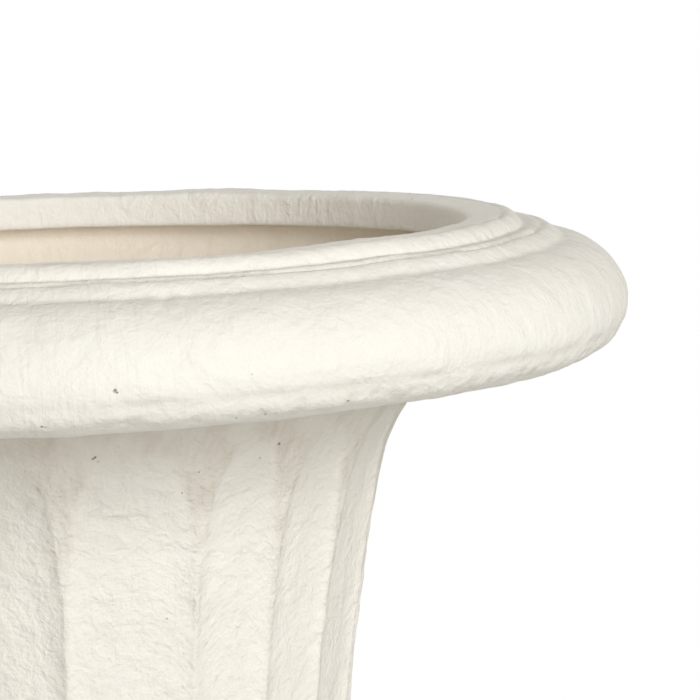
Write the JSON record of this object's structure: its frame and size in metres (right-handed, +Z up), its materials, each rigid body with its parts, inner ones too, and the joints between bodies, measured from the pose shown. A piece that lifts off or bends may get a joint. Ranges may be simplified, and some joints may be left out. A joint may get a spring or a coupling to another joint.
{
  "type": "urn planter",
  "caption": "Round fluted urn planter with a fat rolled rim, gadrooned cup, turned pedestal and square plinth, bolted through by a rod; a drain plug lifts out.",
  "frame": {"origin": "on the floor, under the middle of the urn", "axes": "+Z up along the urn's axis, X and Y along the plinth's sides; the picture looks along +Y"},
  "size_m": [0.525, 0.525, 0.721],
  "materials": {
    "fibre_clay_rim": "matte",
    "fibre_clay_bowl": "matte",
    "fibre_clay_foot": "matte",
    "sheet_rubber": "matte",
    "plug_rubber": "matte",
    "zinc_steel": "satin",
    "grey_plastic": "satin"
  },
  "bodies": {
    "urn": {"rim_ring": "fibre_clay_rim", "fluted_bowl": "fibre_clay_bowl", "pedestal": "fibre_clay_foot", "plinth": "fibre_clay_foot", "bowl_gasket": "sheet_rubber", "tie_rod": "zinc_steel", "tie_washers": "zinc_steel", "tie_nuts": "zinc_steel", "rod_seal": "sheet_rubber", "drain_sleeve": "grey_plastic", "foot_pads": "sheet_rubber"},
    "plug": {"drain_plug": "plug_rubber"}
  },
  "joints": [
    {"name": "plug_lift", "type": "slide", "parent": "urn", "child": "plug", "axis": [0, 0, 1], "range_m": [0, 0.485]}
  ]
}
